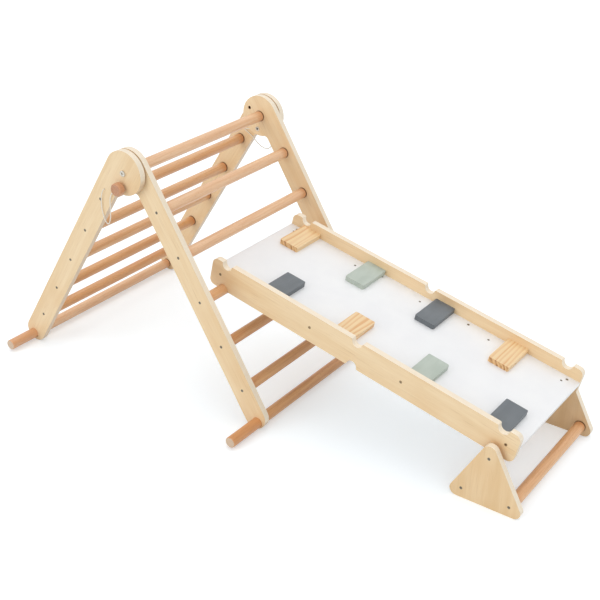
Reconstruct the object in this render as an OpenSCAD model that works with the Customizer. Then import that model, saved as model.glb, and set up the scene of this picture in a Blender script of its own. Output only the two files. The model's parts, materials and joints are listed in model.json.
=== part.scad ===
// Folding climbing triangle with a stepping ramp and a small triangular stand.
// +X runs down the ramp, +Y along the rungs, +Z up. The floor is z = 0 and the origin lies under the
// middle of the whole set. Left is +Y and right is -Y, as seen when facing down the ramp.

/* [Ladder frames] */
// Lean of each ladder from upright
leg_tilt = 32.1; // [27:0.1:36]
// Width of a ladder rail
rail_w = 73; // [60:1:78]
// Thickness of the plywood that every rail and plate is cut from
ply_t = 18; // [15:1:21]
// Radius of the round head at the top of each rail
head_r = 64; // [58:0.5:70]
// Radius in the corner where the head meets the rail
head_fillet = 15; // [6:1:20]
// Overall width across the rear ladder's rails
rear_w = 650; // [560:1:760]
// Gap between the rear and the front rail on each side
rail_gap = 4.5; // [3:0.1:5]
// Length of rail past the foot bar's axis
foot_margin = 19.5; // [18:0.5:30]

/* [Rungs] */
// Diameter of the rungs, foot bars and stand dowels
rung_d = 32; // [26:1:34]
// Distance down the rail from the pivot to the first rung
rung_first = 134.5; // [120:0.5:150]
// Distance from one rung to the next
rung_pitch = 136.5; // [120:0.5:150]
// Distance from the last rung to the foot bar
foot_pitch = 99.5; // [80:0.5:120]
// Length of the two foot bars
foot_bar_len = 850; // [800:2:900]
// Depth of the blind sockets that hold the rung ends
socket_depth = 9; // [6:0.5:11]
// Rounding of the ends of the foot bars
bar_end_r = 3; // [1:0.5:6]

/* [Hinge and lock] */
// How far the rear ladder folds towards the front one
fold_travel = 64; // [30:1:64]
// Diameter of the pivot bolts
pivot_bolt_d = 8; // [6:1:10]
// Length of the pivot bolts under the head
pivot_bolt_len = 50; // [40:1:70]
// Diameter of the pivot bolt heads
pivot_head_d = 17; // [14:1:20]
// Height of the pivot bolt heads
pivot_head_h = 3.5; // [3:0.5:5]
// Width across flats of the hexagon socket in the pivot bolts
hex_af = 6; // [4:1:7]
// Outer diameter of the spacer rings between the ladder heads
spacer_d = 52; // [44:1:60]
// Distance of the lock pins from the pivot
lock_r = 44; // [42:1:50]
// Lean of the lock pins behind the pivot's plumb line
lock_lean = 10.5; // [0:0.5:24]
// Angle of the spare lock hole above the horizontal, behind the pivot
spare_lean = 27; // [0:1:60]
// Diameter of the lock pins
lock_pin_d = 8; // [6:1:9]
// Diameter of the turned knobs
knob_d = 37; // [34:1:44]
// Length of the turned knobs
knob_len = 21; // [14:1:26]
// Diameter of the neck between a knob and the rail
neck_d = 14; // [12:1:18]
// Length of the neck between a knob and the rail
neck_len = 5.8; // [4.6:0.1:6]
// Depth of the curved groove that the pin tips ride in
groove_depth = 8; // [6:0.5:9]

/* [Ramp] */
// Distance between the end notches, which is the ramp's reach
ramp_reach = 890; // [800:1:960]
// Length of ramp past each end notch
ramp_end = 50; // [44:1:60]
// Overall width of the ramp
ramp_w = 402; // [340:1:440]
// Height of the ramp's side rails
ramp_rail_h = 86; // [80:1:100]
// Depth of the seat notches under the ramp's ends
seat_depth = 17.5; // [11:0.5:18]
// Depth of the free notches
notch_depth = 19; // [17:0.5:19.5]
// Rounding of the free notches' mouths
notch_lip = 4; // [2:0.5:4]
// Radius of the ramp rails' corners
ramp_corner_r = 18; // [8:1:20]
// Thickness of the board
board_t = 12; // [10:0.5:14]
// Height of the board's top above the rails' lower edge
board_rise = 49; // [42:0.5:54]
// Number of the rung below the pivot that the ramp hangs on
hook_rung = 3; // [2:1:4]

/* [Step blocks] */
// Width of a step block along the ramp
block_w = 64; // [50:1:80]
// Thickness of a step block
block_t = 15; // [12:0.5:20]
// Distance between blocks on the same side as a share of the ramp's reach
block_pitch_share = 0.269; // [0.23:0.001:0.28]
// Radius of the blocks' upright corners
block_corner_r = 4; // [1:0.5:8]

/* [Stand] */
// Width of a stand plate
stand_w = 200; // [190:1:230]
// Height of a stand plate
stand_h = 185; // [180:1:200]
// Radius of a stand plate's corners
stand_corner_r = 20; // [16:1:26]
// Height of the top dowel that carries the ramp
stand_dowel_z = 148; // [130:1:150]
// Distance between the two low dowels
stand_dowel_span = 135; // [110:1:140]
// Height of the two low dowels
stand_low_z = 28.5; // [24:0.5:32]
// Free play between the ramp and each stand plate
stand_play = 13.5; // [3:0.5:16]

/* [Fixings] */
// Diameter of the wood screws
screw_d = 4.5; // [3.5:0.5:5]
// Diameter of the screw heads
screw_head_d = 8.5; // [7:0.5:10]
// Length of the screws in the rungs and dowels
screw_len = 45; // [35:1:60]
// Length of the screws in the step blocks
block_screw_len = 22; // [18:1:24]
// Distance between the two screws of a step block
block_screw_span = 80; // [60:1:90]
// Diameter of the barrel nuts in the board
nut_d = 8; // [7:0.5:9]
// Distance of the barrel nuts from the board's side edges
nut_inset = 16; // [12:1:24]
// Length of the bolts that hold the ramp rails to the board
ramp_bolt_len = 48; // [45:1:55]
// Distance from the ramp's ends to the outer bolts
bolt_end_inset = 32; // [28:1:50]
// Distance between the inner bolts as a share of the distance between the outer ones
bolt_inner_share = 0.321; // [0.28:0.001:0.36]
// Depth of the bolts under the board's top
bolt_drop = 6; // [4:0.5:7]
// Diameter of the plugs in the board
plug_d = 7; // [5:0.5:9]
// Thickness of the plugs in the board
plug_t = 4; // [2:0.5:5]
// Distance of the plugs from the board's side edges
plug_inset = 33; // [30:1:40]
// Mean distance from the ramp's ends to the outer plugs
plug_end_inset = 37; // [30:1:60]
// How far the left row of plugs is shifted up the ramp, and the right one down
plug_shift = 5; // [-8:1:8]

/* [Cord] */
// Diameter of the two lock cords
cord_d = 3; // [1.6:0.2:3.2]
// Diameter of the knots in the cords
knot_d = 7; // [5:0.5:8]

/* [Hidden] */
$fn = 64;
over = 1;                // how far a cut runs past a face
fit = 0.1;               // radial play of a rung in its socket or bore
pin_play = 0.3;          // play of the lock pin in the groove, and of faces that slide past each other
screw_fit = 0.1;         // radial play of a screw in its hole
head_h = 2.8;            // height of a countersunk head
screw_tip = 4;           // length of a screw's point
screw_point_d = 1;       // diameter of the point's end
pin_tip_gap = 0.5;       // distance of a lock pin's tip from the groove's floor
pin_chamfer = 1;         // bevel of a lock pin's tip
cord_play = 0.5;         // radial play of a cord in its hole
recess_w = 1.1;          // width of a slot of the cross recess
recess_len = 4.4;        // length of a slot of the cross recess
recess_depth = 1.6;      // depth of the cross recess
hex_depth = 2.4;         // depth of the hexagon socket
rung_r = rung_d / 2;
rung_count = 5;
rung_stations = [for (i = [0:rung_count - 1]) rung_first + i * rung_pitch];
foot_station = rung_first + (rung_count - 1) * rung_pitch + foot_pitch;
rail_end = foot_station + foot_margin;
rung_line = head_r - rail_w / 2;
rear_y = rear_w / 2;
rear_inner_y = rear_y - ply_t;
front_y = rear_inner_y - rail_gap;
front_inner_y = front_y - ply_t;
seat_clear = pin_play;
notch_r = rung_r + seat_clear;
slot_r = rung_r;

// A rail ends in a half circle, and its lowest point lies right under that circle's centre.
round_u = rail_end - rail_w / 2;
pivot_z = round_u * cos(leg_tilt) - rung_line * sin(leg_tilt) + rail_w / 2;

// Ramp, measured from the axis of the rung it hangs on
hook_u = rung_stations[hook_rung - 1];
hook_x = hook_u * sin(leg_tilt) + rung_line * cos(leg_tilt);
hook_z = pivot_z - hook_u * cos(leg_tilt) + rung_line * sin(leg_tilt);
slope = asin((hook_z - stand_dowel_z) / ramp_reach);
stand_x = hook_x + ramp_reach * cos(slope);
ramp_mid = ramp_reach / 2;
ramp_len = ramp_reach + 2 * ramp_end;
ramp_y = ramp_w / 2;
ramp_inner_y = ramp_y - ply_t;
ramp_low = notch_r - seat_depth;
board_top = ramp_low + board_rise;
bolt_level = board_top - bolt_drop;
block_len = 2 * ramp_inner_y / 3;
block_pitch = block_pitch_share * ramp_reach;
bolt_span = ramp_len - 2 * bolt_end_inset;
bolt_stations = [for (share = [1, bolt_inner_share], end = [-1, 1]) ramp_mid + end * share * bolt_span / 2];
plug_pitch = (ramp_len - 2 * plug_end_inset) / 4;
plug_stations = [for (i = [-2:2]) ramp_mid + i * plug_pitch - plug_shift];
nut_y = ramp_inner_y - nut_inset;
plug_y = ramp_inner_y - plug_inset;

// Stand
stand_inner_y = ramp_y + stand_play;
stand_y = stand_inner_y + ply_t;
stand_corners = [
    [-(stand_w / 2 - stand_corner_r), stand_corner_r],
    [stand_w / 2 - stand_corner_r, stand_corner_r],
    [0, stand_h - stand_corner_r]
];
stand_dowels = [
    [0, stand_dowel_z],
    [-stand_dowel_span / 2, stand_low_z],
    [stand_dowel_span / 2, stand_low_z]
];

// The origin is put under the middle of the set.
rear_reach = round_u * sin(leg_tilt) + rung_line * cos(leg_tilt) + rail_w / 2;
front_reach = stand_x + stand_w / 2;
pivot_x = (rear_reach - front_reach) / 2;

// Lock pins, measured from the pivot
lock_x = -lock_r * sin(lock_lean);
lock_z = -lock_r * cos(lock_lean);
spare_x = -lock_r * cos(spare_lean);
spare_z = lock_r * sin(spare_lean);
pin_tip_y = front_y - groove_depth + pin_tip_gap;
insert_d = 11;
insert_flange_d = 15;
insert_flange_t = 1.5;
insert_bore_d = 7;
insert_wall = 1;
insert_len = ply_t - groove_depth - insert_wall;

// Cord holes in the rear rails, measured from the pivot
cord_hole_d = cord_d + 2 * cord_play;
cord_anchor = [-75, -64];
// Routes of the cords: x and z from the pivot, and distance out from the rear rail's outer face
right_route = [
    [-75, -64, -18], [-75, -64, -12], [-75, -64, -6], [-75, -64, 0], [-75.3, -64.5, 3.2],
    [-76.6, -67, 5.6], [-79, -72, 6.2], [-82, -79, 5.8], [-84.6, -87, 5], [-86.3, -95, 4.2],
    [-87.3, -103, 3.8], [-87.7, -111, 3.6], [-87.5, -119, 3.5], [-86.7, -127, 3.5],
    [-85.2, -135, 3.6], [-83, -143, 3.8], [-80, -151, 4], [-76.2, -158.5, 4.2],
    [-71.5, -164, 4.4], [-66, -165.5, 4.5], [-61.3, -161.5, 4.5], [-58, -154.5, 4.5],
    [-55.7, -146.5, 4.5], [-54.3, -138, 4.5], [-53.4, -129.5, 4.5], [-53, -121, 4.5],
    [-53, -112.5, 4.5], [-53, -104, 4.4], [-52.8, -95.5, 4.2], [-52, -87, 4], [-50, -79, 3.6],
    [-46.5, -71.5, 3.2], [-41, -64, 2.8], [-34.5, -57.7, 2.6], [-26, -51.8, 2.5],
    [-15.1, -46.6, 2.5]
];
left_route = [
    [-75, -64, 0], [-75, -64, -6], [-75, -64, -12], [-75, -64, -17], [-74.7, -64.2, -19],
    [-73.4, -64.9, -19.9], [-71, -66.2, -20.2], [-67.4, -68.1, -20.2], [-62, -70.8, -20.2],
    [-55, -74.8, -20.2], [-47.5, -79.3, -20.2], [-40, -84.6, -20.2], [-32.8, -90.8, -20.2],
    [-25.4, -97, -20.2], [-17, -102.6, -20.2], [-8, -107, -20.2], [1.5, -109.8, -20.2],
    [11.5, -110, -20.2], [20.8, -107, -20.2], [28, -101, -20.2], [32.2, -92.8, -20.2],
    [32.6, -84, -20.2], [29.8, -75.5, -20.2], [24.5, -68, -20.2], [18, -61.5, -20.2],
    [11.5, -55, -20.2], [5.2, -49.2, -20.2], [-0.1, -43.4, -20.2], [-3.9, -39, -20.2],
    [-8.1, -37.5, -20.2], [-12.3, -39, -20.2], [-17.1, -43.4, -20.2], [-25, -48.2, -20.2],
    [-35, -52.6, -20.2], [-45.5, -56, -20.2], [-56, -58.8, -20.2], [-63.5, -60.2, -20.2],
    [-69.6, -61, -20.2]
];

// ---- Placing ----

// side is 1 for the left, as modelled, and -1 for the right, which is its mirror image
module on_side(side) {
    mirror([0, side < 0 ? 1 : 0, 0]) children();
}

// Frame of a ladder: origin at the pivot, x out from the triangle, z up the rail
module on_front_ladder() {
    translate([pivot_x, 0, pivot_z]) rotate([0, -leg_tilt, 0]) children();
}

module on_rear_ladder() {
    translate([pivot_x, 0, pivot_z]) mirror([1, 0, 0]) rotate([0, -leg_tilt, 0]) children();
}

// Frame at the pivot, level
module at_pivot() {
    translate([pivot_x, 0, pivot_z]) children();
}

// Frame of the ramp: origin on the hook rung's axis, x down the slope
module on_ramp() {
    translate([pivot_x + hook_x, 0, hook_z]) rotate([0, slope, 0]) children();
}

module on_stand() {
    translate([pivot_x + stand_x, 0, 0]) children();
}

// ---- Shapes ----

// A plate of plywood standing in the XZ plane, from y0 to y0 + t
module plate(y0, t) {
    translate([0, y0 + t, 0]) rotate([90, 0, 0]) linear_extrude(height = t) children();
}

// A round bar or bore along Y
module y_bar(x, z, y0, y1, d) {
    translate([x, y1, z]) rotate([90, 0, 0]) cylinder(h = y1 - y0, d = d);
}

// A bar along Y with rounded ends, centred on the middle plane
module rounded_bar(len, d, edge) {
    rotate([90, 0, 0]) translate([0, 0, -len / 2]) rotate_extrude() {
        square([d / 2 - edge, len]);
        translate([0, edge]) square([d / 2, len - 2 * edge]);
        for (end = [edge, len - edge]) {
            translate([d / 2 - edge, end]) circle(r = edge, $fn = 32);
        }
    }
}

// A countersunk screw with its head's face at z = 0, pointing down
module screw(d, head_d, len) {
    difference() {
        union() {
            translate([0, 0, -head_h]) cylinder(h = head_h, d1 = d, d2 = head_d, $fn = 32);
            translate([0, 0, -len + screw_tip]) cylinder(h = len - screw_tip - head_h, d = d, $fn = 32);
            translate([0, 0, -len]) cylinder(h = screw_tip, d1 = screw_point_d, d2 = d, $fn = 32);
        }
        for (turn = [0, 90]) rotate([0, 0, turn]) {
            translate([-recess_len / 2, -recess_w / 2, -recess_depth]) {
                cube([recess_len, recess_w, recess_depth + over]);
            }
        }
    }
}

// The hole for such a screw
module screw_hole(d, head_d, len) {
    translate([0, 0, -head_h]) cylinder(h = head_h, d1 = d + 2 * screw_fit, d2 = head_d + 2 * screw_fit);
    translate([0, 0, -len - screw_fit]) cylinder(h = len, d = d + 2 * screw_fit);
    cylinder(h = over, d = head_d + 2 * screw_fit);
}

// Puts a screw or its hole on a face at +Y, pointing inwards
module at_face(x, y, z) {
    translate([x, y, z]) rotate([-90, 0, 0]) children();
}

// ---- Ladder rails ----

module head_corner_fillet() {
    edge_v = rung_line - rail_w / 2;
    centre_v = edge_v - head_fillet;
    centre_z = -sqrt(pow(head_r + head_fillet, 2) - pow(centre_v, 2));
    difference() {
        translate([centre_v, centre_z]) square([head_fillet + over, -centre_z]);
        translate([centre_v, centre_z]) circle(r = head_fillet);
        translate([centre_v - head_r, centre_z]) square([head_r, -centre_z]);
        translate([centre_v, -head_r / 2]) square([head_fillet + 2 * over, head_r]);
    }
}

module rail_profile() {
    edge_v = rung_line - rail_w / 2;
    circle(r = head_r);
    translate([edge_v, -round_u]) square([rail_w, round_u]);
    circle_at(rung_line, -round_u, rail_w / 2);
    head_corner_fillet();
}

// What the rungs and the foot bar take out of a rail that lies between inner_y and outer_y
module rung_cuts(inner_y, outer_y) {
    for (u = rung_stations) {
        y_bar(rung_line, -u, inner_y - over, inner_y + socket_depth, rung_d + 2 * fit);
        at_face(rung_line, outer_y, -u) screw_hole(screw_d, screw_head_d, screw_len);
    }
    y_bar(rung_line, -foot_station, inner_y - over, outer_y + over, rung_d + 2 * fit);
}

// Blind groove for the pin's tip, from the open place round to the folded one
module lock_groove() {
    groove_w = lock_pin_d + 2 * pin_play;
    end_turn = asin(groove_w / 2 / lock_r);
    translate([0, front_y + over, 0]) rotate([90, 0, 0]) rotate([0, 0, -90 - lock_lean - end_turn]) {
        rotate_extrude(angle = fold_travel + 2 * end_turn) {
            translate([lock_r - groove_w / 2, 0]) square([groove_w, groove_depth + over]);
        }
    }
}

module front_rail(side) {
    color("wheat") on_side(side) difference() {
        on_front_ladder() difference() {
            plate(front_inner_y, ply_t) rail_profile();
            rung_cuts(front_inner_y, front_y);
        }
        at_pivot() {
            y_bar(0, 0, front_inner_y - over, front_y + over, rung_d + 2 * fit);
            lock_groove();
            y_bar(lock_x, lock_z, front_inner_y - over, front_inner_y + insert_len, insert_d);
            y_bar(spare_x, spare_z, front_inner_y - over, front_y + over, lock_pin_d + 2 * fit);
        }
    }
}

module rear_rail(side) {
    color("wheat") on_side(side) difference() {
        on_rear_ladder() difference() {
            plate(rear_inner_y, ply_t) rail_profile();
            rung_cuts(rear_inner_y, rear_y);
        }
        at_pivot() {
            y_bar(0, 0, rear_inner_y - over, rear_inner_y + socket_depth, rung_d + 2 * fit);
            y_bar(0, 0, rear_inner_y, rear_y + over, pivot_bolt_d + 2 * fit);
            y_bar(lock_x, lock_z, rear_inner_y - over, rear_y + over, lock_pin_d + 2 * fit);
            y_bar(cord_anchor[0], cord_anchor[1], rear_inner_y - over, rear_y + over, cord_hole_d);
        }
    }
}

// ---- Rungs and bars ----

// A rung between two rails, with a pilot hole for a screw in each end
module rung(half_len, face_y, d, len) {
    difference() {
        y_bar(0, 0, -half_len, half_len, rung_d);
        for (side = [-1, 1]) on_side(side) at_face(0, face_y, 0) screw_hole(d, screw_head_d, len);
    }
}

module front_rung(i) {
    color("peru") on_front_ladder() translate([rung_line, 0, -rung_stations[i - 1]]) {
        rung(front_inner_y + socket_depth, front_y, screw_d, screw_len);
    }
}

module rear_rung(i) {
    color("peru") on_rear_ladder() translate([rung_line, 0, -rung_stations[i - 1]]) {
        rung(rear_inner_y + socket_depth, rear_y, screw_d, screw_len);
    }
}

module pivot_rung() {
    color("peru") at_pivot() difference() {
        y_bar(0, 0, -rear_inner_y - socket_depth, rear_inner_y + socket_depth, rung_d);
        for (side = [-1, 1]) on_side(side) {
            y_bar(0, 0, rear_y - pivot_bolt_len - fit, rear_y, pivot_bolt_d + 2 * fit);
        }
    }
}

module front_foot_bar() {
    color("peru") on_front_ladder() translate([rung_line, 0, -foot_station]) {
        rounded_bar(foot_bar_len, rung_d, bar_end_r);
    }
}

module rear_foot_bar() {
    color("peru") on_rear_ladder() translate([rung_line, 0, -foot_station]) {
        rounded_bar(foot_bar_len, rung_d, bar_end_r);
    }
}

// ---- Hinge and lock ----

module pivot_bolts() {
    color("silver") at_pivot() for (side = [-1, 1]) on_side(side) difference() {
        union() {
            y_bar(0, 0, rear_y, rear_y + pivot_head_h, pivot_head_d);
            y_bar(0, 0, rear_y - pivot_bolt_len, rear_y + over, pivot_bolt_d);
        }
        translate([0, rear_y + pivot_head_h + over, 0]) rotate([90, 0, 0]) {
            cylinder(h = hex_depth + over, d = hex_af / cos(30), $fn = 6);
        }
    }
}

module pivot_spacers() {
    color("white") at_pivot() for (side = [-1, 1]) on_side(side) difference() {
        y_bar(0, 0, front_y + pin_play, rear_inner_y, spacer_d);
        y_bar(0, 0, front_y, rear_inner_y + over, rung_d + 2 * pin_play);
    }
}

module at_lock() {
    at_pivot() translate([lock_x, 0, lock_z]) children();
}

// The turned knob, with a narrow neck that stands just off the rail
module lock_knob(side) {
    base_y = rear_y + pin_play;
    knob_edge = 4;
    color("peru") on_side(side) at_lock() difference() {
        translate([0, base_y, 0]) rotate([-90, 0, 0]) rotate_extrude() {
            square([neck_d / 2, neck_len + over]);
            translate([0, neck_len]) square([knob_d / 2 - knob_edge, knob_len]);
            translate([0, neck_len + knob_edge]) square([knob_d / 2, knob_len - 2 * knob_edge]);
            for (end = [knob_edge, knob_len - knob_edge]) {
                translate([knob_d / 2 - knob_edge, neck_len + end]) circle(r = knob_edge);
            }
        }
        y_bar(0, 0, base_y - over, base_y + neck_len + knob_len / 2, lock_pin_d + 2 * fit);
    }
}

module lock_pin(side) {
    knob_seat_y = rear_y + pin_play + neck_len + knob_len / 2;
    color("silver") on_side(side) at_lock() {
        y_bar(0, 0, pin_tip_y + pin_chamfer, knob_seat_y, lock_pin_d);
        translate([0, pin_tip_y + pin_chamfer, 0]) rotate([90, 0, 0]) {
            cylinder(h = pin_chamfer, d1 = lock_pin_d, d2 = lock_pin_d - 2 * pin_chamfer);
        }
    }
}

module lock_inserts() {
    insert_mouth_y = front_inner_y - insert_flange_t;
    insert_floor_y = front_inner_y + insert_len;
    color("silver") at_lock() for (side = [-1, 1]) on_side(side) difference() {
        union() {
            y_bar(0, 0, insert_mouth_y, front_inner_y, insert_flange_d);
            y_bar(0, 0, insert_mouth_y, insert_floor_y, insert_d);
        }
        y_bar(0, 0, insert_mouth_y - over, insert_floor_y - insert_wall, insert_bore_d);
    }
}

// ---- Cords ----

function unit(v) = v / norm(v);

// A tube of eight sides along the points of a route
module cord_tube(route, side) {
    sides = 8;
    p = [for (q = route) [pivot_x + q[0], side * (rear_y + q[2]), pivot_z + q[1]]];
    last = len(p) - 1;
    t = [for (i = [0:last]) unit(p[min(i + 1, last)] - p[max(i - 1, 0)])];
    n = [for (i = 0, v = unit(cross(t[0], [1, 0, 0.3])); i <= last;
        i = i + 1, v = i <= last ? unit(v - t[i] * (v * t[i])) : v) v];
    rings = [for (i = [0:last], j = [0:sides - 1])
        p[i] + cord_d / 2 * (n[i] * cos(j * 360 / sides) + cross(t[i], n[i]) * sin(j * 360 / sides))];
    walls = [for (i = [0:last - 1], j = [0:sides - 1]) let (k = (j + 1) % sides)
        [i * sides + j, (i + 1) * sides + j, (i + 1) * sides + k, i * sides + k]];
    caps = [[for (j = [0:sides - 1]) j], [for (j = [sides - 1:-1:0]) last * sides + j]];
    polyhedron(points = rings, faces = concat(walls, caps), convexity = 6);
}

module lock_cord_left() {
    color("ivory") cord_tube(left_route, 1);
}

module lock_cord_right() {
    color("ivory") cord_tube(right_route, -1);
}

// The knots that stop the cords: outside on the left rail and inside on the right one
module cord_knots() {
    color("ivory") at_pivot() {
        translate([cord_anchor[0], rear_y + knot_d / 2, cord_anchor[1]]) sphere(d = knot_d, $fn = 24);
        translate([cord_anchor[0], knot_d / 2 - rear_inner_y, cord_anchor[1]]) sphere(d = knot_d, $fn = 24);
    }
}

// ---- Screws of the ladders ----

module front_screws(side) {
    color("gray") on_side(side) on_front_ladder() for (u = rung_stations) {
        at_face(rung_line, front_y, -u) screw(screw_d, screw_head_d, screw_len);
    }
}

module rear_screws(side) {
    color("gray") on_side(side) on_rear_ladder() for (u = rung_stations) {
        at_face(rung_line, rear_y, -u) screw(screw_d, screw_head_d, screw_len);
    }
}

// ---- Ramp ----

// A free notch in an edge at y = 0, with the wood below it
module free_notch() {
    translate([0, slot_r - notch_depth]) circle(r = slot_r);
    translate([-slot_r, slot_r - notch_depth]) square([2 * slot_r, notch_depth - slot_r + over]);
    difference() {
        translate([-slot_r - notch_lip, -notch_lip]) square([2 * (slot_r + notch_lip), notch_lip + over]);
        for (end = [-1, 1]) {
            translate([end * (slot_r + notch_lip), -notch_lip]) circle(r = notch_lip, $fn = 32);
        }
    }
}

module ramp_rail_profile() {
    difference() {
        translate([-ramp_end, ramp_low]) {
            translate([ramp_corner_r, 0]) square([ramp_len - 2 * ramp_corner_r, ramp_rail_h]);
            translate([0, ramp_corner_r]) square([ramp_len, ramp_rail_h - 2 * ramp_corner_r]);
            for (x = [ramp_corner_r, ramp_len - ramp_corner_r]) {
                for (z = [ramp_corner_r, ramp_rail_h - ramp_corner_r]) {
                    translate([x, z]) circle(r = ramp_corner_r);
                }
            }
        }
        for (x = [0, ramp_reach]) circle_at(x, 0, notch_r);
        for (x = [0, ramp_mid, ramp_reach]) translate([x, ramp_low + ramp_rail_h]) free_notch();
        translate([ramp_mid, ramp_low]) mirror([0, 1]) free_notch();
    }
}

module circle_at(x, y, r) {
    translate([x, y]) circle(r = r);
}

module ramp_rail(side) {
    color("burlywood") on_side(side) on_ramp() difference() {
        plate(ramp_inner_y, ply_t) ramp_rail_profile();
        for (x = bolt_stations) {
            at_face(x, ramp_y, bolt_level) screw_hole(screw_d, screw_head_d, ramp_bolt_len);
        }
    }
}

// A disc hole or plug standing square to the board, from z0 up to z1
module board_disc(x, y, z0, z1, d) {
    translate([x, y, z0]) cylinder(h = z1 - z0, d = d, $fn = 32);
}

// The right row of plugs is the left one turned half round
module at_plugs() {
    for (x = plug_stations) {
        translate([x, plug_y, 0]) children();
        translate([2 * ramp_mid - x, -plug_y, 0]) children();
    }
}

module at_blocks() {
    for (i = [1:8]) translate(block_place(i)) children();
}

// Block 1 is at the top on the left, and they step down the ramp on either side in turn.
function block_side(i) = i % 2 == 1 ? 1 : -1;
function block_place(i) = [
    ramp_mid + (i - 4.5) * block_pitch / 2,
    block_side(i) * (ramp_inner_y - block_len / 2),
    board_top
];

module block_screw_holes() {
    for (y = [-block_screw_span / 2, block_screw_span / 2]) {
        translate([0, y, -board_t]) mirror([0, 0, 1]) screw_hole(screw_d, screw_head_d, block_screw_len);
    }
}

module ramp_board() {
    color("white") on_ramp() difference() {
        translate([-ramp_end, -ramp_inner_y, board_top - board_t]) {
            cube([ramp_len, 2 * ramp_inner_y, board_t]);
        }
        for (x = bolt_stations, y = [-nut_y, nut_y]) {
            board_disc(x, y, board_top - board_t - over, board_top + over, nut_d + 2 * fit);
        }
        for (x = bolt_stations, side = [-1, 1]) on_side(side) {
            at_face(x, ramp_y, bolt_level) screw_hole(screw_d, screw_head_d, ramp_bolt_len);
        }
        at_plugs() board_disc(0, 0, board_top - plug_t, board_top + over, plug_d);
        at_blocks() block_screw_holes();
    }
}

module step_block(i, tint) {
    color(tint) on_ramp() translate(block_place(i)) difference() {
        linear_extrude(height = block_t) {
            square([block_w - 2 * block_corner_r, block_len], center = true);
            square([block_w, block_len - 2 * block_corner_r], center = true);
            for (x = [-1, 1] * (block_w / 2 - block_corner_r)) {
                for (y = [-1, 1] * (block_len / 2 - block_corner_r)) circle_at(x, y, block_corner_r);
            }
        }
        block_screw_holes();
    }
}

module step_block_screws() {
    color("gray") on_ramp() at_blocks() for (y = [-block_screw_span / 2, block_screw_span / 2]) {
        translate([0, y, -board_t]) mirror([0, 0, 1]) screw(screw_d, screw_head_d, block_screw_len);
    }
}

module ramp_bolts(side) {
    color("gray") on_side(side) on_ramp() for (x = bolt_stations) {
        at_face(x, ramp_y, bolt_level) screw(screw_d, screw_head_d, ramp_bolt_len);
    }
}

module ramp_barrel_nuts() {
    color("dimgray") on_ramp() difference() {
        for (x = bolt_stations, y = [-nut_y, nut_y]) {
            board_disc(x, y, board_top - board_t, board_top, nut_d);
        }
        for (x = bolt_stations, side = [-1, 1]) on_side(side) {
            at_face(x, ramp_y, bolt_level) screw_hole(screw_d, screw_head_d, ramp_bolt_len);
        }
    }
}

module board_plugs() {
    color("darkgray") on_ramp() at_plugs() board_disc(0, 0, board_top - plug_t, board_top, plug_d);
}

// ---- Stand ----

// A triangle with round corners: the corner circles and the tangents between them
module stand_profile() {
    count = len(stand_corners);
    polygon([for (i = [0:count - 1]) let (
        a = stand_corners[i],
        b = stand_corners[(i + 1) % count],
        out = unit([b[1] - a[1], a[0] - b[0]]) * stand_corner_r
    ) each [a + out, b + out]]);
    for (c = stand_corners) circle_at(c[0], c[1], stand_corner_r);
}

module stand_plate(side) {
    color("burlywood") on_side(side) on_stand() difference() {
        plate(stand_inner_y, ply_t) stand_profile();
        for (d = stand_dowels) {
            y_bar(d[0], d[1], stand_inner_y - over, stand_inner_y + socket_depth, rung_d + 2 * fit);
            at_face(d[0], stand_y, d[1]) screw_hole(screw_d, screw_head_d, screw_len);
        }
    }
}

module stand_dowel(i) {
    color("peru") on_stand() translate([stand_dowels[i][0], 0, stand_dowels[i][1]]) {
        rung(stand_inner_y + socket_depth, stand_y, screw_d, screw_len);
    }
}

module stand_screws(side) {
    color("gray") on_side(side) on_stand() for (d = stand_dowels) {
        at_face(d[0], stand_y, d[1]) screw(screw_d, screw_head_d, screw_len);
    }
}

slate = "slategray";
sage = "darkseagreen";
pine = "navajowhite";

front_rail(1);  // front_rail_left
front_rail(-1);  // front_rail_right
rear_rail(1);  // rear_rail_left
rear_rail(-1);  // rear_rail_right
pivot_rung();
front_rung(1);  // front_rung_1
front_rung(2);  // front_rung_2
front_rung(3);  // front_rung_3
front_rung(4);  // front_rung_4
front_rung(5);  // front_rung_5
front_foot_bar();
rear_rung(1);  // rear_rung_1
rear_rung(2);  // rear_rung_2
rear_rung(3);  // rear_rung_3
rear_rung(4);  // rear_rung_4
rear_rung(5);  // rear_rung_5
rear_foot_bar();
pivot_bolts();
pivot_spacers();
lock_knob(1);  // lock_knob_left
lock_knob(-1);  // lock_knob_right
lock_pin(1);  // lock_pin_left
lock_pin(-1);  // lock_pin_right
lock_inserts();
lock_cord_left();
lock_cord_right();
cord_knots();
front_screws(1);  // front_screws_left
front_screws(-1);  // front_screws_right
rear_screws(1);  // rear_screws_left
rear_screws(-1);  // rear_screws_right
ramp_rail(1);  // ramp_rail_left
ramp_rail(-1);  // ramp_rail_right
ramp_board();
step_block(1, pine);  // step_block_1
step_block(2, slate);  // step_block_2
step_block(3, sage);  // step_block_3
step_block(4, pine);  // step_block_4
step_block(5, slate);  // step_block_5
step_block(6, sage);  // step_block_6
step_block(7, pine);  // step_block_7
step_block(8, slate);  // step_block_8
step_block_screws();
ramp_bolts(1);  // ramp_bolts_left
ramp_bolts(-1);  // ramp_bolts_right
ramp_barrel_nuts();
board_plugs();
stand_plate(1);  // stand_plate_left
stand_plate(-1);  // stand_plate_right
stand_dowel(0);  // stand_top_dowel
stand_dowel(1);  // stand_rear_dowel
stand_dowel(2);  // stand_front_dowel
stand_screws(1);  // stand_screws_left
stand_screws(-1);  // stand_screws_right
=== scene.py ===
"""Looks of the folding climbing triangle: camera, cords, knobs, materials, floor and light.

Everything is in metres in the model's own frame: +X down the ramp, +Y along the rungs to the left,
+Z up, and the floor at z = 0. Colours are written as sRGB values from 0 to 255.
"""

import json
from math import cos, pi, radians, sin

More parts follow.
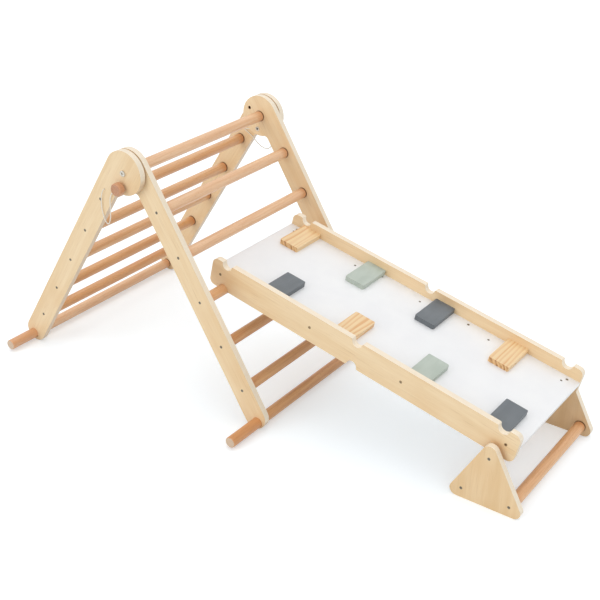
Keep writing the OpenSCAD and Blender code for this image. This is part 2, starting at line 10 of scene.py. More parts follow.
import bmesh
import bpy
from mathutils import Matrix, Vector


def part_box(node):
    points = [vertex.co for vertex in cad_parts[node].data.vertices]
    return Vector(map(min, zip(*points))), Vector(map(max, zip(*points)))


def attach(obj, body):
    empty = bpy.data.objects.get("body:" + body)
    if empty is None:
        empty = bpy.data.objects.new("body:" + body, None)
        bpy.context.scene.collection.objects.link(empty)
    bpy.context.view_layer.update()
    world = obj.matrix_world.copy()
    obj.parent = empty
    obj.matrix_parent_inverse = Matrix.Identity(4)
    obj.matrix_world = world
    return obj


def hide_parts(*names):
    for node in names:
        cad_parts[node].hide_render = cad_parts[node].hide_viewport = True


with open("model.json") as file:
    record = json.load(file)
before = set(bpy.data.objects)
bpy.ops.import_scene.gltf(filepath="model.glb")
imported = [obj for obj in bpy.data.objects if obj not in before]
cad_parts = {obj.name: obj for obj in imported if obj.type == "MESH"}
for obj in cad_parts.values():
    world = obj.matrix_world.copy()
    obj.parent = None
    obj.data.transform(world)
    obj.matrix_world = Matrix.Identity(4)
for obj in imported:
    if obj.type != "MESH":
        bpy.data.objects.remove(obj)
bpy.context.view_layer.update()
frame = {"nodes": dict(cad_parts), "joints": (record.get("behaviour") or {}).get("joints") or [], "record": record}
nodes = frame["nodes"]
MM = 0.001

# ---- Places taken from the frame ----

PIVOT = Vector(next(j["pos_m"] for j in frame["joints"] if j["name"] == "fold"))
# Distances of the rails' and plates' outer faces from the middle plane, and their thickness
REAR_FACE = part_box("rear_rail_left")[1].y
FRONT_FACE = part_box("front_rail_left")[1].y
RAMP_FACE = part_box("ramp_rail_left")[1].y
STAND_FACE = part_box("stand_plate_left")[1].y
PLY = 18 * MM
# Degrees of the ladders' rails from upright, and of the ramp from level
LEG_TILT = 32.1
RAMP_SLOPE = 12.304

# ---- Camera ----

# The photograph's width and the fitted focal length, both in pixels
IMAGE_PX = 600
FOCAL_PX = 1109.39
SENSOR_WIDTH = 36.0
FAR_CLIP = 200
CAMERA_AT = Vector((1.64114, -2.34778, 1.78626))
YAW, PITCH, ROLL = radians(35.072), radians(-28.041), radians(0.932)


def make_camera():
    """The photograph's viewpoint, from a fit to points measured in it."""
    ahead = Vector((-sin(YAW) * cos(PITCH), cos(YAW) * cos(PITCH), sin(PITCH)))
    level = Vector((cos(YAW), sin(YAW), 0))
    above = level.cross(ahead)
    right = level * cos(ROLL) + above * sin(ROLL)
    up = above * cos(ROLL) - level * sin(ROLL)
    data = bpy.data.cameras.new("camera")
    data.sensor_fit = "HORIZONTAL"
    data.sensor_width = SENSOR_WIDTH
    data.lens = FOCAL_PX * SENSOR_WIDTH / IMAGE_PX
    data.clip_end = FAR_CLIP
    camera = bpy.data.objects.new("camera", data)
    turn = Matrix((right, up, -ahead)).transposed()
    camera.matrix_world = Matrix.Translation(CAMERA_AT) @ turn.to_4x4()
    bpy.context.scene.collection.objects.link(camera)
    bpy.context.scene.camera = camera


make_camera()

# ---- Meshes ----


def mesh_object(name, bm):
    """Turns a bmesh into a linked, smooth-shaded object."""
    mesh = bpy.data.meshes.new(name)
    bm.to_mesh(mesh)
    bm.free()
    for polygon in mesh.polygons:
        polygon.use_smooth = True
    piece = bpy.data.objects.new(name, mesh)
    bpy.context.scene.collection.objects.link(piece)
    return piece


def smooth_route(points, steps):
    """A Catmull-Rom curve through the points, with some steps from each to the next."""
    padded = [2 * points[0] - points[1], *points, 2 * points[-1] - points[-2]]
    route = []
    for a, b, c, d in zip(padded, padded[1:], padded[2:], padded[3:]):
        for k in range(steps):
            t = k / steps
            square = 2 * a - 5 * b + 4 * c - d
            cube = 3 * b - a - 3 * c + d
            route.append(0.5 * (2 * b + (c - a) * t + square * t**2 + cube * t**3))
    return [*route, points[-1]]


def tube(name, route, radius, sides=12):
    """A tube along the route, closed at both ends. Its UVs are metres along it and turns round it."""
    bm = bmesh.new()
    uv = bm.loops.layers.uv.new("UVMap")
    normal = (route[1] - route[0]).orthogonal().normalized()
    rings, along = [], [0.0]
    for i, point in enumerate(route):
        ahead = (route[min(i + 1, len(route) - 1)] - route[max(i - 1, 0)]).normalized()
        normal = (normal - ahead * normal.dot(ahead)).normalized()
        across = ahead.cross(normal)
        ring = []
        for j in range(sides):
            angle = 2 * pi * j / sides
            ring.append(bm.verts.new(point + radius * (normal * cos(angle) + across * sin(angle))))
        rings.append(ring)
        if i:
            along.append(along[-1] + (point - route[i - 1]).length)
    for i in range(len(rings) - 1):
        for j in range(sides):
            k = (j + 1) % sides
            face = bm.faces.new((rings[i][j], rings[i][k], rings[i + 1][k], rings[i + 1][j]))
            marks = ((i, j), (i, j + 1), (i + 1, j + 1), (i + 1, j))
            for loop, (row, turn) in zip(face.loops, marks):
                loop[uv].uv = (along[row], turn / sides)
    bm.faces.new(rings[0][::-1])
    bm.faces.new(rings[-1])
    return mesh_object(name, bm)


def lathe(name, centre, side, profile, sides=72):
    """A turned piece round Y. The profile lists distance out and radius, from axis to axis."""
    bm = bmesh.new()
    rings = []
    for out, radius in profile:
        at = centre + Vector((0, side * out, 0))
        if radius == 0:
            rings.append([bm.verts.new(at)])
            continue
        turns = [2 * pi * k / sides for k in range(sides)]
        rings.append([bm.verts.new(at + radius * Vector((cos(t), 0, sin(t)))) for t in turns])
    for low, high in zip(rings, rings[1:]):
        for k in range(sides):
            n = (k + 1) % sides
            # A ring of one point on the axis gives triangles
            ring = [low[k % len(low)], low[n % len(low)], high[n % len(high)], high[k % len(high)]]
            bm.faces.new(list(dict.fromkeys(ring)))
    bmesh.ops.recalc_face_normals(bm, faces=bm.faces)
    return mesh_object(name, bm)


# ---- Cords ----

CORD_DIAMETER = 3 * MM
CORD_STEPS = 3
# Routes in millimetres: x and z from the pivot, and distance out from the rear rail's outer face
RIGHT_ROUTE = (
    (-75, -64, -18), (-75, -64, -12), (-75, -64, -6), (-75, -64, 0), (-75.3, -64.5, 3.2),
    (-76.6, -67, 5.6), (-79, -72, 6.2), (-82, -79, 5.8), (-84.6, -87, 5), (-86.3, -95, 4.2),
    (-87.3, -103, 3.8), (-87.7, -111, 3.6), (-87.5, -119, 3.5), (-86.7, -127, 3.5),
    (-85.2, -135, 3.6), (-83, -143, 3.8), (-80, -151, 4), (-76.2, -158.5, 4.2), (-71.5, -164, 4.4),
    (-66, -165.5, 4.5), (-61.3, -161.5, 4.5), (-58, -154.5, 4.5), (-55.7, -146.5, 4.5),
    (-54.3, -138, 4.5), (-53.4, -129.5, 4.5), (-53, -121, 4.5), (-53, -112.5, 4.5),
    (-53, -104, 4.4), (-52.8, -95.5, 4.2), (-52, -87, 4), (-50, -79, 3.6), (-46.5, -71.5, 3.2),
    (-41, -64, 2.8), (-34.5, -57.7, 2.6), (-26, -51.8, 2.5), (-15.1, -46.6, 2.5),
)
LEFT_ROUTE = (
    (-75, -64, 0), (-75, -64, -6), (-75, -64, -12), (-75, -64, -17), (-74.7, -64.2, -19),
    (-73.4, -64.9, -19.9), (-71, -66.2, -20.2), (-67.4, -68.1, -20.2), (-62, -70.8, -20.2),
    (-55, -74.8, -20.2), (-47.5, -79.3, -20.2), (-40, -84.6, -20.2), (-32.8, -90.8, -20.2),
    (-25.4, -97, -20.2), (-17, -102.6, -20.2), (-8, -107, -20.2), (1.5, -109.8, -20.2),
    (11.5, -110, -20.2), (20.8, -107, -20.2), (28, -101, -20.2), (32.2, -92.8, -20.2),
    (32.6, -84, -20.2), (29.8, -75.5, -20.2), (24.5, -68, -20.2), (18, -61.5, -20.2),
    (11.5, -55, -20.2), (5.2, -49.2, -20.2), (-0.1, -43.4, -20.2), (-3.9, -39, -20.2),
    (-8.1, -37.5, -20.2), (-12.3, -39, -20.2), (-17.1, -43.4, -20.2), (-25, -48.2, -20.2),
    (-35, -52.6, -20.2), (-45.5, -56, -20.2), (-56, -58.8, -20.2), (-63.5, -60.2, -20.2),
    (-69.6, -61, -20.2),
)


def cord(side, route):
    """A lock cord on the left (side 1) or right (side -1) rear rail."""
    hand = "left" if side > 0 else "right"
    points = [
        PIVOT + Vector((x * MM, side * (REAR_FACE + out * MM), z * MM)) for x, z, out in route
    ]
    line = smooth_route(points, CORD_STEPS)
    piece = tube(f"cord_{hand}", line, CORD_DIAMETER / 2)
    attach(piece, "rear_frame")
    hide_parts(f"lock_cord_{hand}")
    return piece


cords = [cord(1, LEFT_ROUTE), cord(-1, RIGHT_ROUTE)]

# ---- Knobs ----

# Distance out from the rear rail's face and radius, in millimetres, from the bore's floor round to
# the dished front
KNOB_PROFILE = (
    (14.1, 0), (14.1, 4.1), (0.4, 4.1), (0.3, 4.4), (0.3, 6.6), (0.5, 6.9), (1.2, 7), (4.6, 7),
    (5.5, 7.2), (6, 7.9), (6.1, 9), (6.1, 14.2), (6.3, 15.6), (6.9, 16.9), (7.9, 17.9), (9.2, 18.4),
    (10.6, 18.5), (21.8, 18.5), (23.4, 18.3), (24.8, 17.7), (25.9, 16.8), (26.8, 15.5), (27.1, 14),
    (27, 12.8), (26.6, 11.7), (26, 10.7), (25.5, 9.6), (25.3, 8.3), (25.4, 5.6), (25.6, 2.8),
    (25.7, 0),
)


def knob(side):
    """A turned lock knob with a dished face, on a narrow neck."""
    hand = "left" if side > 0 else "right"
    low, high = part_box(f"lock_knob_{hand}")
    centre = Vector(((low.x + high.x) / 2, side * REAR_FACE, (low.z + high.z) / 2))
    profile = [(out * MM, radius * MM) for out, radius in KNOB_PROFILE]
    piece = lathe(f"knob_{hand}", centre, side, profile)
    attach(piece, f"lock_{hand}")
    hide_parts(f"lock_knob_{hand}")
    return piece


knobs = [knob(1), knob(-1)]

# ---- Materials ----

# Colours of the woods: light and dark growth, and for the bars also the rays and fibres
BIRCH = (245, 218, 177), (236, 204, 158)
STAND_BIRCH = (238, 208, 165), (228, 193, 144)
BIRCH_FIBRE = (220, 184, 138)
BIRCH_FLECK = (190, 150, 100)
BIRCH_PATCH = (230, 190, 138)
VENEER = (250, 240, 221), (242, 223, 196)
VENEER_FIBRE = (232, 212, 184)
VENEER_PAINTED_SHADE = (214, 182, 146)
# The bars' tones are lit and shaded copies of one beech: the palest holds painted light, the deepest painted shade
LIT_BEECH = (242, 203, 164), (231, 183, 140), (204, 149, 103)
LIGHT_BEECH = (238, 193, 147), (225, 172, 122), (196, 138, 88)
STAND_BEECH = (238, 188, 138), (224, 166, 112), (194, 130, 76)
MID_BEECH = (234, 187, 138), (218, 164, 113), (186, 126, 80)
SHADED_BEECH = (226, 172, 117), (210, 148, 93), (178, 110, 58)
KNOB_BEECH = (220, 164, 124), (206, 148, 108), (174, 116, 78)
BEECH_ENDS = (222, 196, 168), (198, 166, 136)
KNOB_ENDS = (206, 152, 114), (176, 120, 84)
WARM_BEECH = (208, 138, 84)
PINE_FACE = (241, 212, 165), (226, 174, 116)
PINE_ENDS = (232, 190, 134), (168, 108, 58)
PINE_FIBRE = (214, 158, 96)
# Colours of painted shade: round a bar's socket, on a bar beside a rail, and in the spare hole
SOCKET_PAINTED_SHADE = (128, 80, 40)
JOINT_PAINTED_SHADE = (104, 58, 26)
HOLE_PAINTED_SHADE = (92, 54, 24)

# Layers in a sheet, and waves in a metre along the grain, through the sheet and across the grain
VENEERS = 13
BROAD_WAVES = (2.2, 20, 34)
FINE_WAVES = (14, 60, 420)
# Widths of the painted shade lines, and how deep the ones round the sockets go into the sheet
SOCKET_SHADE_WIDTH = 2.4 * MM
JOINT_SHADE_WIDTH = 4.6 * MM
SKIN = 1.2 * MM
# Distances before a rail's face: where a bar's warm tone begins and is full, and where its painted
# shade line fades inside the rail
WARM_REACH = 35 * MM, 8 * MM
INTO_RAIL = -2 * MM, -1 * MM
# How closely the rings on a bar's end follow each other, in radians across its box
RING_WAVES = 62.0
BAR_RADIUS = (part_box("pivot_rung")[1].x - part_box("pivot_rung")[0].x) / 2
# Middle of the spare lock hole, and the radii between which its painted shade fades
SPARE_HOLE = Vector((-0.411, 0, 0.688))
SPARE_HOLE_SHADE_RADII = 5.8 * MM, 4.6 * MM


def linear(colour):
    """An sRGB colour from 0 to 255 as linear RGBA."""
    channels = [c / 255 for c in colour]
    return [c / 12.92 if c <= 0.04045 else ((c + 0.055) / 1.055) ** 2.4 for c in channels] + [1.0]


class Nodes:
    """A node tree, built with short calls. A socket's value is a number or another output."""

    def __init__(self, tree):
        self.tree = tree

    def add(self, kind, settings=None, **sockets):
        """A shader node. Its sockets go by name, with _ for a space, or as i0, i1 and so on."""
        node = self.tree.nodes.new("ShaderNode" + kind)
        for key, value in (settings or {}).items():
            setattr(node, key, value)
        for key, value in sockets.items():
            number = key[1:]
            place = int(number) if number.isdigit() else key.replace("_", " ")
            self.put(node.inputs[place], value)
        return node

    def put(self, socket, value):
        """Sets or links a socket."""
        if isinstance(value, bpy.types.NodeSocket):
            self.tree.links.new(value, socket)
        else:
            socket.default_value = value

    def math(self, operation, *values):
        """A math node's result for its two or three values."""
        sockets = {f"i{k}": value for k, value in enumerate(values)}
        return self.add("Math", {"operation": operation}, **sockets).outputs[0]

    def times(self, a, b):
        """The product of two values."""
        return self.math("MULTIPLY", a, b)

    def mix(self, share, a, b):
        """Mixes two colours; share 0 gives a."""
        return self.add("Mix", {"data_type": "RGBA"}, i0=share, i6=a, i7=b).outputs[2]

    def tint(self, base, amount, strength, colour):
        """The base with a colour laid over it, by an amount from 0 to 1 times a strength."""
        return self.mix(self.times(amount, strength), base, linear(colour))

    def ramp(self, value, low, high):
        """Value from low to high, as 0 to 1, smoothly."""
        settings = {"interpolation_type": "SMOOTHSTEP"}
        return self.add("MapRange", settings, Value=value, From_Min=low, From_Max=high).outputs[0]

    def blend(self, value, low, high, pair):
        """From the first colour of a pair to the second as the value goes from low to high."""
        return self.mix(self.ramp(value, low, high), linear(pair[0]), linear(pair[1]))

    def coords(self, kind):
        """Texture coordinates: Object is the frame, Generated the piece's box from 0 to 1."""
        return self.add("TexCoord").outputs[kind]

    def split(self, vector):
        """The X, Y and Z parts of a vector."""
        return self.add("SeparateXYZ", Vector=vector).outputs

    def flat(self):
        """The frame's coordinates, flattened onto the XZ plane."""
        return self.add("Mapping", Vector=self.coords("Object"), Scale=(1, 0, 1)).outputs[0]

    def distance(self, a, b):
        """The distance between two points."""
        return self.add("VectorMath", {"operation": "DISTANCE"}, i0=a, i1=b).outputs[1]

    def sideways(self):
        """How squarely the surface faces left or right, from 0 to 1."""
        return self.math("ABSOLUTE", self.split(self.coords("Normal"))[1])

    def side_reach(self):
        """Distance to the left or right of the set's middle plane."""
        return self.math("ABSOLUTE", self.split(self.coords("Object"))[1])

    def place(self, turn, scale=(1, 1, 1)):
        """The frame's coordinates, turned about Y by an angle in degrees and then scaled."""
        angles = (0, radians(turn), 0)
        turned = self.add("Mapping", Vector=self.coords("Object"), Rotation=angles)
        return self.add("Mapping", Vector=turned.outputs[0], Scale=scale).outputs[0]

    def noise(self, turn, waves, detail, roughness=0.5, distortion=0.0, scale=1.0):
        """Noise with so many waves in a metre along X, Y and Z, which are turned about Y."""
        node = self.add(
            "TexNoise",
            Vector=self.place(turn, waves),
            Scale=scale,
            Detail=detail,
            Roughness=roughness,
            Distortion=distortion,
        )
        return node.outputs[0]

    def seen_directly(self):
        """1 for rays that show a surface to the camera, also by a mirror or through glass."""
        rays = self.add("LightPath").outputs
        mirrored = self.math("MAXIMUM", rays["Is Camera Ray"], rays["Is Glossy Ray"])
        return self.math("MAXIMUM", mirrored, rays["Is Transmission Ray"])


class Surface(Nodes):
    """A material with one principled shader."""

    def __init__(self, name, **sockets):
        self.material = empty_material(name)
        super().__init__(self.material.node_tree)
        self.shader = self.add("BsdfPrincipled", **sockets)
        self.add("OutputMaterial", Surface=self.shader.outputs[0])

    def finish(self, colour, height, strength, depth):
        """Sets the colour and a bump, and gives the material back."""
        bump = self.add("Bump", Height=height, Strength=strength, Distance=depth)
        self.put(self.shader.inputs["Normal"], bump.outputs[0])
        self.put(self.shader.inputs["Base Color"], colour)
        return self.material


def empty_material(name):
    """A material with no nodes yet."""
    material = bpy.data.materials.new(name)
    material.use_nodes = True
    material.node_tree.nodes.clear()
    return material


def axis_of(bar):
    """The middle of a bar, flattened onto the XZ plane."""
    low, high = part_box(bar)
    return Vector(((low.x + high.x) / 2, 0, (low.z + high.z) / 2))


def ply_face(s, turn, order, fibre, tone):
    """A sheet's face: soft streaks, fibres, flecks along the grain, and broad warm patches."""
    streaks = s.noise(turn, BROAD_WAVES[::order], 3, 0.55, 0.6)
    fleck_waves = [0.6 * waves for waves in FINE_WAVES[::order]]
    flecks = s.ramp(s.noise(turn, fleck_waves, 1, scale=1.7), 0.66, 0.76)
    patches = s.ramp(s.noise(turn, (7, 7, 7), 1), 0.45, 0.75)
    face = s.blend(streaks, 0.3, 0.72, tone)
    face = s.tint(face, s.ramp(fibre, 0.35, 0.75), 0.22, BIRCH_FIBRE)
    face = s.tint(face, flecks, 0.35, BIRCH_FLECK)
    return s.tint(face, patches, 0.4, BIRCH_PATCH)


def ply_edge(s, outer, fibre):
    """A sheet's cut edge: light and dark layers, and painted shade on the edges that face down."""
    # The layers are counted inwards from one thickness outside the outer face
    layer = s.math("DIVIDE", s.math("SUBTRACT", outer + PLY, s.side_reach()), PLY / VENEERS)
    edge = s.blend(s.math("PINGPONG", layer, 1.0), 0.38, 0.62, VENEER)
    edge = s.tint(edge, s.ramp(fibre, 0.3, 0.8), 0.3, VENEER_FIBRE)
    # Painted shade: edges that face down are darker
    facing_up = s.split(s.coords("Normal"))[2]
    return s.tint(edge, s.ramp(facing_up, -0.05, -0.4), 0.65, VENEER_PAINTED_SHADE)


def socket_shade(s, inner, bars):
    """How far into the painted shade round a bar's socket a point of the inner face is, from 0 to 1."""
    where = s.flat()
    near = 1.0
    for bar in bars:
        near = s.math("MINIMUM", near, s.distance(where, axis_of(bar)))
    on_inner_face = s.ramp(s.side_reach(), inner + SKIN, inner + 0.5 * SKIN)
    return s.times(s.ramp(near, BAR_RADIUS + SOCKET_SHADE_WIDTH, BAR_RADIUS), on_inner_face)


def plywood(name, turn, grain, outer, bars=(), tone=BIRCH, hole=None):
    """Birch plywood that stands in the XZ plane, its grain along the turned X or Z axis.

    Outer is how far its outer face lies from the middle plane. The inner face has painted shade round
    each of the bars' sockets, and a hole may have painted shade in and round it.
    """
    s = Surface(name, Roughness=0.42, Coat_Weight=0.12, Coat_Roughness=0.3)
    order = 1 if grain == "x" else -1
    fibre = s.noise(turn, FINE_WAVES[::order], 2, 0.6)
    face = ply_face(s, turn, order, fibre, tone)
    if bars:
        # Painted shade round each bar's socket on the inner face
        face = s.tint(face, socket_shade(s, outer - PLY, bars), 0.9, SOCKET_PAINTED_SHADE)
    wood = s.mix(s.ramp(s.sideways(), 0.55, 0.8), ply_edge(s, outer, fibre), face)
    if hole:
        # Painted shade in and round the spare hole
        hole_shade = s.ramp(s.distance(s.flat(), hole), *SPARE_HOLE_SHADE_RADII)
        wood = s.mix(hole_shade, wood, linear(HOLE_PAINTED_SHADE))
    return s.finish(wood, fibre, 0.12, 0.3 * MM)


def warm_tone_and_joint_shade(s, wood, rail_face):
    """Turns a bar's wood warmer towards a rail's inner face, with painted shade beside it."""
    short_of = s.math("SUBTRACT", rail_face, s.side_reach())
    wood = s.tint(wood, s.ramp(short_of, *WARM_REACH), 0.5, WARM_BEECH)
    # Painted shade: a dark line on the bar just beside the rail's face
    line = s.ramp(short_of, JOINT_SHADE_WIDTH, 0.5 * JOINT_SHADE_WIDTH)
    return s.tint(wood, s.times(line, s.ramp(short_of, *INTO_RAIL)), 0.95, JOINT_PAINTED_SHADE)


def end_rings(s, ends):
    """Growth rings on a bar's end."""
    # Moves the heart of the rings, at 0.35 and 0.2 of the bar's box, to zero
    to_heart = (-0.35, 0, -0.2)
    across = s.add("Mapping", Vector=s.coords("Generated"), Location=to_heart, Scale=(1, 0, 1))
    radius = s.add("VectorMath", {"operation": "LENGTH"}, i0=across.outputs[0]).outputs[1]
    return s.blend(s.math("SINE", s.times(radius, RING_WAVES)), -1.0, 1.0, ends)


def beech(name, tones, rail_face=None, ends=BEECH_ENDS):
    """Beech bar along Y: soft growth streaks, many short rays, and rings on its ends.

    Rail_face is how far the inner face of the rail that holds it lies from the middle plane.
    """
    s = Surface(name, Roughness=0.38, Coat_Weight=0.2, Coat_Roughness=0.25)
    streaks = s.noise(0, (70, 3, 70), 3, 0.55, 0.4)
    fibre = s.noise(0, (420, 9, 420), 2, 0.6)
    rays = s.ramp(s.noise(0, (620, 130, 620), 1), 0.62, 0.72)
    wood = s.blend(streaks, 0.28, 0.72, tones[:2])
    wood = s.tint(wood, s.ramp(fibre, 0.4, 0.75), 0.35, tones[2])
    wood = s.tint(wood, rays, 0.4, tones[2])
    if rail_face:
        wood = warm_tone_and_joint_shade(s, wood, rail_face)
    wood = s.mix(s.ramp(s.sideways(), 0.75, 0.9), wood, end_rings(s, ends))
    return s.finish(wood, fibre, 0.1, 0.3 * MM)


def pine(name, turn):
    """Pine block: light wood with a few broad, orange growth bands that lie along Y."""
    s = Surface(name, Roughness=0.4, Coat_Weight=0.15, Coat_Roughness=0.3)
    bands_in_metre, sway, slant = 76, 50 * MM, 0.7
    parts = s.split(s.place(turn))
    swayed = s.math("ADD", parts[0], s.times(s.noise(turn, (16, 2.5, 16), 2), sway))
    slanted = s.math("ADD", swayed, s.times(parts[2], slant))
    bands = s.math("FRACT", s.times(slanted, bands_in_metre))
    late = s.times(s.ramp(bands, 0.2, 0.75), s.ramp(bands, 1.0, 0.8))
    strength = s.ramp(s.noise(turn, (60, 2, 60), 1), 0.3, 0.65)
    late = s.times(late, s.math("ADD", 0.35, s.times(strength, 0.65)))
    fibre = s.noise(turn, (500, 12, 500), 2, 0.6)
    face = s.mix(late, *map(linear, PINE_FACE))
    face = s.tint(face, s.ramp(fibre, 0.4, 0.8), 0.2, PINE_FIBRE)
    ends = s.mix(late, *map(linear, PINE_ENDS))
    return s.finish(s.mix(s.ramp(s.sideways(), 0.6, 0.85), face, ends), late, 0.08, 0.3 * MM)


def stained(name, turn, colour, shade):
    """Wood under an even stain, through which the grain still shows faintly."""
    s = Surface(name, Roughness=0.5, Coat_Weight=0.05, Coat_Roughness=0.4)
    fibre = s.noise(turn, (300, 9, 300), 3, 0.6)
    stain = s.blend(s.noise(turn, (30, 12, 30), 2), 0.3, 0.7, (colour, shade))
    stain = s.tint(stain, s.ramp(fibre, 0.4, 0.8), 0.4, shade)
    return s.finish(stain, fibre, 0.15, 0.3 * MM)


def laminate(name, colour, shade):
    """White board with a fine, hardly visible texture."""
    s = Surface(name, Roughness=0.36, Coat_Weight=0.1, Coat_Roughness=0.2)
    white = s.blend(s.noise(0, (9, 9, 9), 3, 0.6), 0.3, 0.7, (colour, shade))
    grit = s.noise(0, (900, 900, 900), 1)
    return s.finish(white, grit, 0.05, 0.2 * MM)


def metal(name, colour, shade, roughness):
    """Zinc-plated steel with small blotches and fine scratches."""
    s = Surface(name, Metallic=1.0)
    blotched = s.blend(s.noise(0, (260, 260, 260), 3, 0.6), 0.3, 0.7, (colour, shade))
    scratch = s.noise(20, (900, 60, 900), 2, 0.6)
    rough = s.math("ADD", s.times(scratch, 0.25), roughness - 0.1)
    s.put(s.shader.inputs["Roughness"], rough)
    return s.finish(blotched, scratch, 0.1, 0.1 * MM)


def nylon(name, colour, shade):
    """Off-white turned nylon."""
    s = Surface(name, Roughness=0.45)
    cloud = s.noise(0, (200, 200, 200), 2)
    return s.finish(s.blend(cloud, 0.3, 0.7, (colour, shade)), cloud, 0.05, 0.2 * MM)


def braid(name, colour, shade, strands, pitch):
    """Braided cotton cord, from UVs in metres along it and turns round it."""
    s = Surface(name, Roughness=0.85, Sheen_Weight=0.3, Sheen_Roughness=0.5)
    uv = s.split(s.coords("UV"))
    along = s.math("DIVIDE", uv[0], pitch)
    around = s.times(uv[1], strands)
    one, other = (
        s.math("SINE", s.times(s.math(way, along, around), 2 * pi)) for way in ("ADD", "SUBTRACT")
    )
    weave = s.ramp(s.math("MAXIMUM", one, other), -0.2, 1.0)
    # Painted shade: the grooves between the strands get the darker colour
    return s.finish(s.mix(weave, linear(shade), linear(colour)), weave, 0.5, 0.3 * MM)


FRONT_BARS = ["pivot_rung", *(f"front_rung_{i}" for i in range(1, 6))]
REAR_BARS = [f"rear_rung_{i}" for i in range(1, 6)]
DOWELS = ["stand_top_dowel", "stand_rear_dowel", "stand_front_dowel"]
PLY_BY_NAME = {
    "front_rail": plywood(
        "plywood_front", LEG_TILT, "z", FRONT_FACE, FRONT_BARS, hole=SPARE_HOLE
    ),
    "rear_rail": plywood("plywood_rear", -LEG_TILT, "z", REAR_FACE, REAR_BARS),
    "ramp_rail": plywood("plywood_ramp", -RAMP_SLOPE, "x", RAMP_FACE),
    "stand_plate": plywood("plywood_stand", 0, "z", STAND_FACE, DOWELS, tone=STAND_BIRCH),
}

BRASS = metal("yellow_zinc", (184, 160, 126), (106, 84, 60), 0.35)
BRIGHT = metal("bright_steel", (226, 220, 210), (190, 184, 172), 0.5)
KNOB_WOOD = beech("knob_wood", KNOB_BEECH, ends=KNOB_ENDS)
BRAID = braid("braided_cord", (252, 246, 234), (222, 212, 194), 3, 4 * MM)
BY_SLOT = {
    "knob_wood": KNOB_WOOD,
    "white_board": laminate("white_laminate", (244, 245, 246), (240, 241, 243)),
    "pine": pine("pine", -RAMP_SLOPE),
    "slate_paint": stained("slate_stain", -RAMP_SLOPE, (110, 116, 121), (100, 106, 111)),
    "sage_paint": stained("sage_stain", -RAMP_SLOPE, (189, 199, 189), (177, 188, 177)),
    "nylon": nylon("nylon", (232, 230, 224), (220, 217, 209)),
    "cord": BRAID,
    "plug_steel": metal("dull_steel", (128, 122, 116), (92, 86, 80), 0.5),
    "bright_steel": BRIGHT,
    "steel": metal("zinc_steel", (150, 142, 128), (96, 88, 76), 0.4),
}
# The bars get lit and shaded copies of one beech: painted light on the top bars and the rear foot bar,
# painted shade on the low bars under the ramp. For each material: its tones, the outer face of the
# rails or plates that hold the bars, and how the bars' names start
BARS = {
    "beech_top_lit": (LIT_BEECH, FRONT_FACE, ["pivot_rung", "front_rung_1", "front_rung_2"]),
    "beech_front": (LIGHT_BEECH, FRONT_FACE, ["front_rung_3"]),
    "beech_front_shaded": (SHADED_BEECH, FRONT_FACE, ["front_rung_4", "front_rung_5", "front_foot"]),
    "beech_rear": (MID_BEECH, REAR_FACE, ["rear_rung_1", "rear_rung_2", "rear_rung_3"]),
    "beech_rear_shaded": (SHADED_BEECH, REAR_FACE, ["rear_rung_4", "rear_rung_5"]),
    "beech_rear_lit": (LIT_BEECH, REAR_FACE, ["rear_foot"]),
    "beech_stand": (STAND_BEECH, STAND_FACE, DOWELS),
}
BY_NAME = {**PLY_BY_NAME, "ramp_bolts": BRASS, "pivot_bolts": BRIGHT}
for material_name, (tones, rail_outer, starts) in BARS.items():
    BY_NAME.update(dict.fromkeys(starts, beech(material_name, tones, rail_outer - PLY)))


def dress(piece, material):
    """Gives a piece one material."""
    piece.data.materials.clear()
    piece.data.materials.append(material)


slot_of = {part["node"]: part["material_slot"] for part in frame["record"]["subparts"]}
for name, node in nodes.items():
    named = [material for start, material in BY_NAME.items() if name.startswith(start)]
    dress(node, named[0] if named else BY_SLOT[slot_of[name]])
for piece in cords:
    dress(piece, BRAID)
for piece in knobs:
    dress(piece, KNOB_WOOD)

# ---- Softened edges ----

PLATE_EDGE = 2.6 * MM
BLOCK_EDGE = 2.0 * MM
FLAT_BELOW = radians(0.5)
SHARP_ABOVE = radians(35)


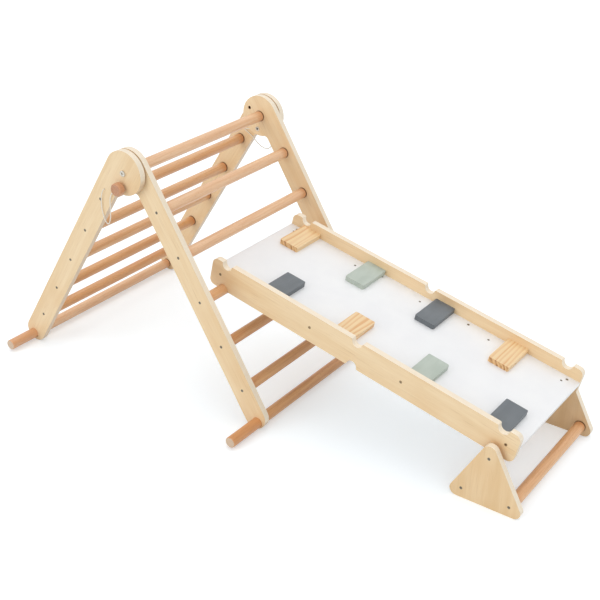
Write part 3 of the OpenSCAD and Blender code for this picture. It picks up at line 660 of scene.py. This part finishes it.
def soften(node, width):
    """Rounds a CAD node's sharp edges with modifiers, which leave its own mesh as it is."""
    merge = node.modifiers.new("merge", "DECIMATE")
    merge.decimate_type = "DISSOLVE"
    merge.angle_limit = FLAT_BELOW
    bevel = node.modifiers.new("bevel", "BEVEL")
    bevel.width = width
    bevel.segments = 3
    bevel.limit_method = "ANGLE"
    bevel.angle_limit = SHARP_ABOVE
    bevel.use_clamp_overlap = True
    bevel.harden_normals = True


for name, node in nodes.items():
    if name.startswith(tuple(PLY_BY_NAME)):
        soften(node, PLATE_EDGE)
    elif name.startswith("step_block_") and name != "step_block_screws":
        soften(node, BLOCK_EDGE)

# ---- Floor and light ----

FLOOR_SIZE = 40
FLOOR_COLOUR = (0.8, 0.865, 0.91, 1)
FLOOR_GLOW = 0.34
WORLD_LIGHT = 0.62


def make_floor():
    """A wide white floor that keeps the object's shadow."""
    bm = bmesh.new()
    bmesh.ops.create_grid(bm, x_segments=1, y_segments=1, size=FLOOR_SIZE)
    floor = mesh_object("floor", bm)
    material = empty_material("floor")
    n = Nodes(material.node_tree)
    diffuse = n.add("BsdfDiffuse", Color=FLOOR_COLOUR)
    glow = n.add("Emission", Strength=n.times(n.seen_directly(), FLOOR_GLOW))
    both = n.add("AddShader", i0=diffuse.outputs[0], i1=glow.outputs[0])
    n.add("OutputMaterial", Surface=both.outputs[0])
    dress(floor, material)


def make_world():
    """Even white light from all round, in front of a white background."""
    world = bpy.data.worlds.new("world")
    world.use_nodes = True
    n = Nodes(world.node_tree)
    background = world.node_tree.nodes["Background"]
    background.inputs["Color"].default_value = (1, 1, 1, 1)
    strength = n.math("MULTIPLY_ADD", n.seen_directly(), 1 - WORLD_LIGHT, WORLD_LIGHT)
    n.put(background.inputs["Strength"], strength)
    bpy.context.scene.world = world


def sun(name, place, softness, strength):
    """A distant lamp that shines from a place to the origin, so many degrees wide."""
    data = bpy.data.lights.new(name, "SUN")
    data.angle = radians(softness)
    data.energy = strength
    light = bpy.data.objects.new(name, data)
    light.rotation_euler = Vector(place).to_track_quat("Z", "Y").to_euler()
    bpy.context.scene.collection.objects.link(light)


make_floor()
make_world()
sun("overhead", (0.05, 0.35, 1), 60, 0.8)
sun("left", (-0.45, -1, 0.5), 40, 0.74)
sun("fill", (1, -0.5, 0.45), 70, 0.36)
bpy.context.scene.view_settings.view_transform = "Standard"
